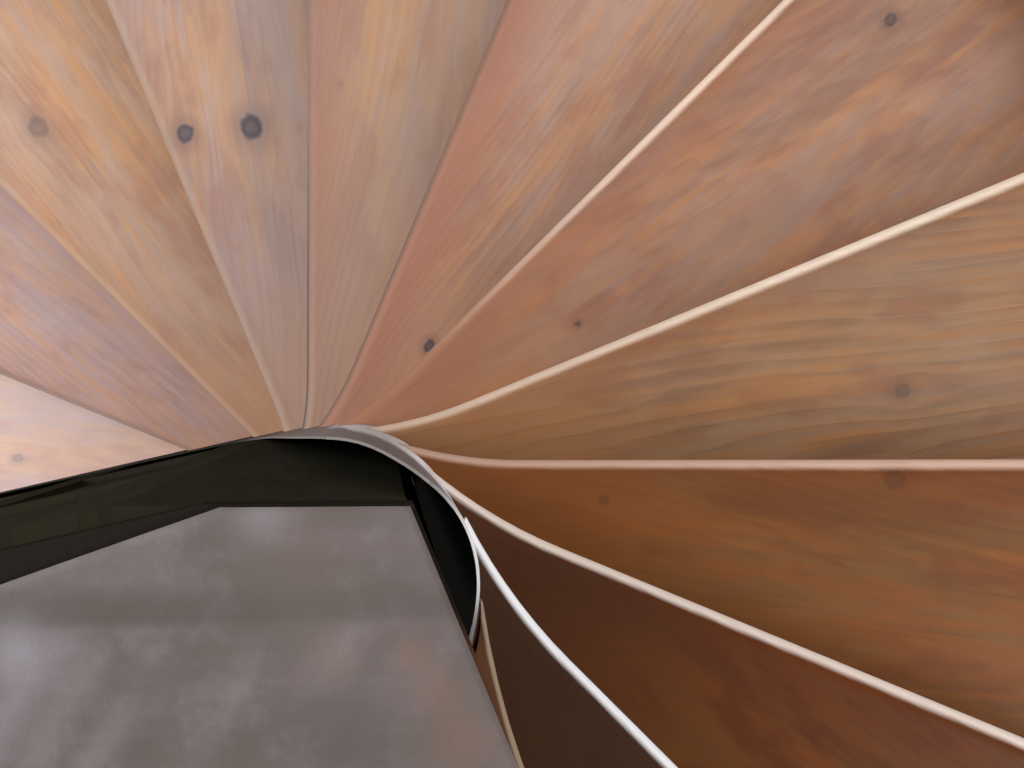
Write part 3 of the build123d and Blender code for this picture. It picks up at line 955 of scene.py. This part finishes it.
@dataclass
class LaidCover:
    """The landing's floor covering: a thin sheet laid on the boards, pushed into low creases."""

    turn: Turn = Turn()
    top: float = 2.400
    thickness: float = 0.004
    back: float = 0.0923
    front: float = 0.0873
    corner: float = -0.099
    side_angle: float = 199.5
    reach: float = 1.330
    middle: tuple[float, float] = (-0.18, -0.62)
    rays: int = 264
    rings: int = 70
    ring_crowding: float = 0.85
    unevenness: float = 0.0006

    def folds(self) -> list[Fold]:
        """The creases: those by the well as they lie there, the rest spread over the landing.

        Returns:
            The creases.
        """
        return [
            Fold((-0.40, 0.000), (-0.08, 0.006), 0.012, 0.0042),
            Fold((-0.235, -0.025), (-0.300, -0.150), 0.014, 0.0040),
            Fold((-0.185, -0.020), (-0.245, -0.150), 0.011, 0.0034),
            Fold((-0.140, -0.020), (-0.190, -0.140), 0.011, 0.0030),
            Fold((-0.070, -0.030), (-0.110, -0.160), 0.014, 0.0024),
            Fold((-0.14, 0.074), (0.00, 0.060), 0.030, 0.0022),
            Fold((0.10, -0.10), (-0.02, -0.24), 0.030, 0.0022),
            Fold((-0.45, -0.20), (-0.75, -0.36), 0.040, 0.0040),
            Fold((-0.20, -0.45), (-0.55, -0.60), 0.045, 0.0040),
            Fold((0.10, -0.40), (0.02, -0.85), 0.050, 0.0035),
            Fold((0.30, -0.75), (0.12, -1.10), 0.045, 0.0035),
            Fold((-0.45, -0.85), (-0.10, -1.02), 0.050, 0.0040),
            Fold((-0.80, -0.60), (-0.95, -0.35), 0.040, 0.0030),
        ]

    def limits(self) -> list[tuple[np.ndarray, float]]:
        """The straight sides of the outline: the back, the front edge and the cut side.

        Returns:
            Each side's outward direction in plan and its distance from the axis.
        """
        line = math.radians(self.turn.line_angle(self.turn.tread_count))
        side = math.radians(self.side_angle)
        side_out = np.array([math.sin(side), -math.cos(side)])
        return [
            (np.array([0.0, 1.0]), self.back),
            (np.array([-math.sin(line), math.cos(line)]), self.front),
            (side_out, float(side_out @ np.array([self.corner, self.back]))),
        ]

    def bearings(self) -> np.ndarray:
        """Directions from the middle to the edge: evenly round, and one to each corner.

        Returns:
            The directions in radians, sorted.
        """
        (_, back), (front_out, front), (side_out, side) = self.limits()
        corners = [
            np.array([self.corner, back]),
            np.linalg.solve(np.array([front_out, (0.0, 1.0)]), np.array([front, back])),
        ]
        for out, distance, sign in ((front_out, front, -1.0), (side_out, side, 1.0)):
            run = math.sqrt(self.reach**2 - distance**2)
            corners.append(out * distance + sign * run * np.array([-out[1], out[0]]))
        offsets = [corner - np.array(self.middle) for corner in corners]
        exact = [math.atan2(offset[1], offset[0]) % math.tau for offset in offsets]
        even = np.linspace(0.0, math.tau, self.rays, endpoint=False)
        return np.sort(np.concatenate([even, exact]))

    def edge_distance(self, bearing: np.ndarray) -> np.ndarray:
        """Distance from the middle to the outline: the least of those to the sides and the rim.

        Args:
            bearing: Directions in radians.

        Returns:
            The distances.
        """
        toward = np.stack([np.cos(bearing), np.sin(bearing)])
        middle = np.array(self.middle)
        along = middle @ toward
        nearest = -along + np.sqrt(along**2 + self.reach**2 - middle @ middle)
        for out, distance in self.limits():
            gain = out @ toward
            facing = gain > 1e-6
            way = np.where(facing, (distance - out @ middle) / np.where(facing, gain, 1.0), np.inf)
            nearest = np.minimum(nearest, way)
        return nearest

    def surface(self) -> tuple[np.ndarray, list[list[int]], np.ndarray]:
        """The upper face: rings of one outline drawn in to the middle, then lifted.

        A point is the middle plus its ring's share of the way to the edge. It is lifted by the
        sum of the creases and by a faint unevenness, one plus the product of two sines in plan.

        Returns:
            The points, the faces as point numbers, and the rim's points in order.
        """
        bearing = self.bearings()
        edge = self.edge_distance(bearing)
        share = np.linspace(0.0, 1.0, self.rings + 1)[1:] ** self.ring_crowding
        x = self.middle[0] + share[:, None] * edge * np.cos(bearing)
        y = self.middle[1] + share[:, None] * edge * np.sin(bearing)
        x = np.concatenate([[self.middle[0]], x.ravel()])
        y = np.concatenate([[self.middle[1]], y.ravel()])
        lift = sum(fold.lift(x, y) for fold in self.folds())
        waves = np.sin(9.0 * x + 4.0 * y + 1.0) * np.sin(7.0 * y - 5.0 * x)
        lift = lift + self.unevenness * (waves + 1.0)
        points = np.stack([x, y, self.top + self.thickness + lift], axis=1)
        count = len(bearing)
        spot = np.arange(count)
        beside = (spot + 1) % count
        fan = np.stack([np.zeros_like(spot), spot + 1, beside + 1], axis=1)
        first = 1 + np.arange(self.rings - 1)[:, None] * count
        outer = first + count
        quads = np.stack([first + spot, outer + spot, outer + beside, first + beside], axis=2)
        return points, fan.tolist() + quads.reshape(-1, 4).tolist(), points[-count:]

    def build(self) -> None:
        """Lays the covering as a sheet of its thickness, in place of the solid one."""
        points, faces, rim = self.surface()
        finish = CoverFinish("landing_covering")
        cover = add_mesh("landing_covering_laid", points, faces, finish.make())
        cover.data.shade_smooth()
        solid = cover.modifiers.new("thickness", "SOLIDIFY")
        solid.thickness = self.thickness
        solid.offset = -1.0
        rim_x, rim_y = rim[:, 0], rim[:, 1]
        area = 0.5 * abs(float(np.sum(rim_x * np.roll(rim_y, -1) - rim_y * np.roll(rim_x, -1))))
        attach(cover, "root")
        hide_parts("landing_cover")
        LOG.info("landing covering: %d points, %.3f m2", len(points), area)


@dataclass(frozen=True)
class PlainFinish:
    """A plain matt studio surface with a faint drift of tone."""

    name: str
    colour: Colour

    def make(self) -> bpy.types.Material:
        """Builds the material.

        Returns:
            The finished material.
        """
        sheet = Sheet(self.name)
        x, y, z = sheet.place()
        drift = sheet.noise(sheet.vector(x, y, z), 0.8)
        darker = tuple(part * 0.97 for part in self.colour)
        sheet.shade("Base Color", sheet.mix(drift, self.colour, darker))
        sheet.shade("Roughness", 0.9)
        return sheet.material


@dataclass
class Assembly:
    """A part of the stair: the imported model's objects by name, and the plan of the turn."""

    nodes: dict[str, bpy.types.Object]
    turn: Turn = Turn()

    def dress(self, name: str, finish: Union[PineFinish, BentBoardFinish]) -> None:
        """Gives a carried-over node its finish on every slot.

        Args:
            name: The node.
            finish: Its finish.
        """
        mesh = self.nodes[name].data
        material = finish.make()
        if not mesh.materials:
            mesh.materials.append(material)
        for index in range(len(mesh.materials)):
            mesh.materials[index] = material
        LOG.info("%s: %s", name, material.name)


@dataclass(frozen=True)
class Board:
    """What sets one tread's board apart from its neighbours."""

    tone: PineTone
    heart: float
    slope: float
    lean: float
    wear_and_light: WearAndLightEdge
    knots: tuple[Knot, ...] = ()
    fresh: float = 0.25
    haze: float = 0.0
    well_shade: float = 0.0
    rings: float = 150.0
    ring_share: float = 0.22
    mottle: float = 0.45


@dataclass
class Treads(Assembly):
    """The eleven treads and the risers under them."""

    first_dull_step: int = 8
    dull_gloss: float = 0.12

    def boards(self) -> list[Board]:
        """The boards from the bottom step up, each as the wood and its wear look.

        Returns:
            One board for each tread.
        """
        # Tones darken from the bottom step to the top: partly the boards' own, partly painted shade
        # as the window's light falls off.
        mauve = PineTone((0.700, 0.495, 0.435), 0.50, 0.6)
        blush = PineTone((0.432, 0.280, 0.244), 0.60)
        straw = PineTone((0.441, 0.268, 0.176), 0.55)
        tan = PineTone((0.392, 0.268, 0.222), 0.60)
        honey = PineTone((0.384, 0.252, 0.188), 0.50)
        amber = PineTone((0.396, 0.235, 0.165), 0.50)
        russet = PineTone((0.317, 0.173, 0.111), 0.50, 1.2)
        olive = PineTone((0.260, 0.141, 0.070), 0.45, 1.3)
        bark = PineTone((0.197, 0.082, 0.024), 0.35, 1.3)
        ember = PineTone((0.138, 0.046, 0.0082), 0.30, 1.3)
        umber = PineTone((0.061, 0.026, 0.0100), 0.30, 1.2)
        # Nose strips: wear, with painted highlight on the upper steps and a painted dull nose on
        # the middle steps against the lamp's gleam.
        faint = WearAndLightEdge(0.006, 0.12, (0.46, 0.31, 0.22))
        thin = WearAndLightEdge(0.005, 0.60, (0.64, 0.46, 0.35))
        pale = WearAndLightEdge(0.014, 0.40, (0.52, 0.37, 0.28))
        soft = WearAndLightEdge(0.014, 0.55, (0.36, 0.245, 0.17), nose_shadow=0.25)
        dull = WearAndLightEdge(0.009, 0.85, (0.220, 0.145, 0.110), nose_shadow=0.85)
        dull_shadowed = WearAndLightEdge(0.009, 0.85, (0.190, 0.105, 0.070), nose_shadow=0.35)
        clear = WearAndLightEdge(0.010, 0.95, (0.80, 0.60, 0.46), 0.0)
        broad = WearAndLightEdge(0.0115, 0.95, (0.84, 0.67, 0.53), 0.50)
        blond = WearAndLightEdge(0.0105, 0.90, (0.74, 0.49, 0.38), 0.75)
        white = WearAndLightEdge(0.0095, 0.95, (0.89, 0.74, 0.65))
        chalk = WearAndLightEdge(0.0088, 0.97, (0.95, 0.94, 0.95))
        faint_knot = (Knot(-0.779, 0.026, 0.010, 0.6),)
        broad_knot = (Knot(-0.648, 0.701, 0.019, 0.6),)
        knot_pair = (Knot(-0.335, 0.661, 0.016), Knot(-0.213, 0.675, 0.021))
        speck = (Knot(-0.042, 0.717, 0.006, 0.2),)
        edge_knot = (Knot(0.110, 0.256, 0.009),)
        far_knots = (Knot(0.809, 0.754, 0.0095, 0.9), Knot(0.327, 0.286, 0.004, 0.8))
        dim_knot = (Knot(0.758, 0.186, 0.010, 0.5),)
        low_knots = (Knot(0.677, 0.074, 0.013, 0.35), Knot(0.308, 0.050, 0.005, 0.35))
        dim = {"ring_share": 0.06}
        return [
            Board(mauve, 0.16, 0.02, 4.0, faint, faint_knot),
            Board(blush, 0.10, 0.03, -3.0, thin),
            Board(straw, 0.14, -0.03, 3.0, pale, broad_knot),
            Board(tan, 0.12, 0.02, -2.0, soft, knot_pair, haze=0.30),
            Board(honey, 0.04, 0.02, 2.0, dull, speck, fresh=0.75, haze=0.4),
            Board(amber, 0.05, -0.02, -3.0, dull_shadowed, edge_knot, fresh=0.85),
            Board(russet, 0.16, 0.05, 3.0, clear, far_knots, fresh=0.5),
            Board(olive, 0.06, -0.06, -4.0, broad, dim_knot, rings=85.0, ring_share=0.42),
            Board(bark, 0.12, 0.03, 2.0, blond, low_knots, fresh=0.5),
            Board(ember, 0.10, 0.03, -2.0, white, fresh=0.5, well_shade=0.60, **dim, mottle=0.75),
            Board(umber, 0.09, 0.03, 2.0, chalk, well_shade=0.35, **dim, mottle=0.6),
        ]

    def build(self) -> None:
        """Dresses the treads and risers."""
        for step, board in enumerate(self.boards()):
            sheen = {}
            if step >= self.first_dull_step:
                sheen = {"gloss": self.dull_gloss, "coat": 0.0}
            finish = PineFinish(
                name=f"tread_pine_{step + 1:02d}",
                tone=board.tone,
                angle=self.turn.line_angle(step + 0.5) + board.lean,
                seed=3.7 * step + 1.3,
                heart=board.heart,
                slope=board.slope,
                knots=board.knots,
                wear_and_light=board.wear_and_light,
                step=step,
                fresh=board.fresh,
                haze=board.haze,
                well_shade=board.well_shade,
                rings=board.rings,
                ring_share=board.ring_share,
                mottle=board.mottle,
                **sheen,
            )
            self.dress(f"tread_{step + 1:02d}", finish)
        dark = PineTone((0.17, 0.078, 0.040), 0.3)
        for step in range(1, self.turn.tread_count + 1):
            finish = PineFinish(
                name=f"riser_pine_{step + 1:02d}",
                tone=dark,
                angle=self.turn.line_angle(step),
                seed=2.9 * step + 41.0,
                heart=0.3,
                slope=0.05,
            )
            self.dress(f"riser_{step + 1:02d}", finish)
        rim = PineFinish("riser_pine_01", dark, Grain.ROUND, angle=180.0, seed=77.0, heart=0.2)
        self.dress("riser_01", rim)


@dataclass
class Strings(Assembly):
    """The inner strings round the well and along the wall, and the outer string with its foot."""

    def build(self) -> None:
        """Dresses the strings."""
        bent = BentBoardFinish("well_board_painted_sheen")
        straight = BentBoardFinish("wall_board_painted_sheen", curved=False)
        self.dress("inner_string_wreath", bent)
        self.dress("inner_string_straight", straight)
        tone = PineTone((0.26, 0.12, 0.06), 0.4)
        for number in (1, 2, 3):
            name = f"outer_string_pine_{number}"
            finish = PineFinish(name, tone, Grain.ROUND, seed=11.0 * number, heart=0.25)
            self.dress(f"outer_string_{number}", finish)
        foot = PineFinish("outer_string_foot_pine", tone, Grain.UPRIGHT, seed=58.0)
        self.dress("outer_string_foot", foot)


@dataclass
class Core(Assembly):
    """The side wall and the boards that close the core."""

    def build(self) -> None:
        """Dresses the wall and the core boards."""
        # Near-black wall and core boards: painted shade of the dark well.
        tone = PineTone((0.0245, 0.0225, 0.0160), 0.2, 0.6)
        warm = PineTone((0.0280, 0.0210, 0.0150), 0.2, 0.6)
        matt = {"rough": 0.90, "coat": 0.0, "gloss": 0.0}
        upright = Grain.UPRIGHT
        wall_place = {"angle": self.turn.wall_normal - 90.0, "seed": 21.0, "heart": 0.22}
        wall = PineFinish("wall_pine_painted_shade", tone, upright, **wall_place, **matt)
        back = PineFinish("core_back_pine_painted_shade", tone, upright, seed=31.0, heart=0.12, **matt)
        front_place = {"angle": self.turn.step_angle, "seed": 37.0}
        front = PineFinish("core_front_pine_painted_shade", warm, upright, **front_place, **matt)
        foot = PineFinish("well_base_pine_painted_shade", tone, seed=44.0, **matt)
        self.dress("side_wall", wall)
        self.dress("core_board_back", back)
        self.dress("core_board_front", front)
        self.dress("well_base", foot)


@dataclass
class Landing(Assembly):
    """The landing's boards, covering, beams and posts."""

    joist_angle: float = -28.7

    def build(self) -> None:
        """Dresses the landing."""
        step = self.turn.tread_count
        along_edge = self.turn.line_angle(step)
        # The landing's boards are painted near-black beyond their nose strip and by the well:
        # painted shade of the dark well band.
        deck = PineFinish(
            "landing_pine",
            PineTone((0.090, 0.048, 0.030), 0.2),
            angle=along_edge,
            seed=64.0,
            wear_and_light=WearAndLightEdge(0.005, 0.90, (0.33, 0.25, 0.17)),
            step=step,
            dark_beyond=0.045,
            well_shade=1.0,
            well_shade_reach=0.08,
            coat=0.0,
            gloss=0.0,
        )
        self.dress("landing_deck", deck)
        LaidCover(self.turn).build()
        tone = PineTone((0.23, 0.11, 0.055), 0.4)
        posts = sorted(name for name in self.nodes if "post" in name)
        for number, name in enumerate(posts):
            angle, seed = 10.0 * number, 5.0 * number + 80.0
            finish = PineFinish(f"{name}_pine", tone, Grain.UPRIGHT, angle=angle, seed=seed)
            self.dress(name, finish)
        beams = {
            "landing_trimmer": (Grain.PLAN, along_edge),
            "landing_joist_1": (Grain.PLAN, self.joist_angle),
            "landing_joist_2": (Grain.PLAN, self.joist_angle),
            "landing_rim_beam": (Grain.ROUND, 90.0),
        }
        for number, (name, (grain, angle)) in enumerate(beams.items()):
            seed = 6.0 * number + 130.0
            finish = PineFinish(f"{name}_pine", tone, grain, angle=angle, seed=seed)
            self.dress(name, finish)


@dataclass(frozen=True)
class Lamp:
    """A square lamp: its place, the point it faces, its side, its power in watts and colour."""

    name: str
    place: Point
    aim: Point
    size: float
    power: float
    tint: Colour

    def hang(self) -> None:
        """Hangs the lamp, facing its point."""
        data = bpy.data.lights.new(self.name, "AREA")
        data.size = self.size
        data.energy = self.power
        data.color = self.tint
        lamp = bpy.data.objects.new(self.name, data)
        away = Vector(self.place) - Vector(self.aim)
        turned = away.to_track_quat("Z", "Y").to_matrix().to_4x4()
        lamp.matrix_world = Matrix.Translation(self.place) @ turned
        bpy.context.scene.collection.objects.link(lamp)


@dataclass
class Studio:
    """The floor, lamps, world and camera."""

    camera_at: Point = (0.0327, 0.1926, 3.6425)
    camera_roll: float = 0.157
    camera_pitch: float = -4.952
    camera_tilt: float = 0.025
    lens: float = 52.73
    sensor: float = 36.0
    floor_half: float = 9.0
    floor_drop: float = 0.0005
    floor_paint: Colour = (0.62, 0.60, 0.58)
    sky: Colour = (0.92, 0.95, 1.0)
    sky_strength: float = 0.42

    def lamps(self) -> list[Lamp]:
        """The lamps: daylight from the left, a warmer fill and one over the landing.

        Returns:
            The three lamps.
        """
        return [
            Lamp("window_lamp", (-3.0, 0.55, 3.4), (-0.5, 0.3, 0.5), 2.2, 170.0, (0.92, 0.96, 1)),
            Lamp("fill_lamp", (2.6, 2.0, 5.0), (0.0, 0.0, 1.2), 3.0, 70.0, (1.0, 0.95, 0.89)),
            Lamp("landing_lamp", (2.4, -0.9, 4.4), (0.5, -0.3, 2.0), 1.4, 45.0, (0.98, 0.98, 1)),
        ]

    def floor(self) -> None:
        """Lays the floor: a flat grid of two by two points."""
        side = np.linspace(-self.floor_half, self.floor_half, 2)
        x, y = np.meshgrid(side, side)
        points = np.stack([x.ravel(), y.ravel(), np.full(4, -self.floor_drop)], axis=1)
        paint = PlainFinish("studio_floor_paint", self.floor_paint).make()
        add_mesh("studio_floor", points, [[0, 1, 3, 2]], paint)

    def world(self) -> None:
        """Sets an even pale surround."""
        world = bpy.data.worlds.new("studio_world")
        bpy.context.scene.world = world
        world.use_nodes = True
        background = world.node_tree.nodes["Background"]
        background.inputs["Color"].default_value = (*self.sky, 1.0)
        background.inputs["Strength"].default_value = self.sky_strength

    def camera(self) -> None:
        """Sets the camera of the photograph, over the landing's edge and straight down."""
        data = bpy.data.cameras.new("view_down")
        data.lens = self.lens
        data.sensor_width = self.sensor
        camera = bpy.data.objects.new("view_down", data)
        turned = (
            Matrix.Rotation(math.radians(self.camera_roll), 4, "Z")
            @ Matrix.Rotation(math.radians(self.camera_pitch), 4, "Y")
            @ Matrix.Rotation(math.radians(self.camera_tilt), 4, "X")
        )
        camera.matrix_world = Matrix.Translation(self.camera_at) @ turned
        bpy.context.scene.collection.objects.link(camera)
        bpy.context.scene.camera = camera

    def build(self) -> None:
        """Sets up the whole studio."""
        self.floor()
        self.world()
        for lamp in self.lamps():
            lamp.hang()
        self.camera()
        bpy.context.scene.view_settings.view_transform = "Standard"
        LOG.info("studio: floor, lamps and camera")


def main() -> None:
    """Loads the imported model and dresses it, piece by piece."""
    logging.basicConfig(level=logging.INFO, format="%(name)s %(message)s")
    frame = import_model()
    nodes = frame["nodes"]
    Treads(nodes).build()
    Strings(nodes).build()
    Core(nodes).build()
    Landing(nodes).build()
    Studio().build()


if __name__ == "__main__":
    main()
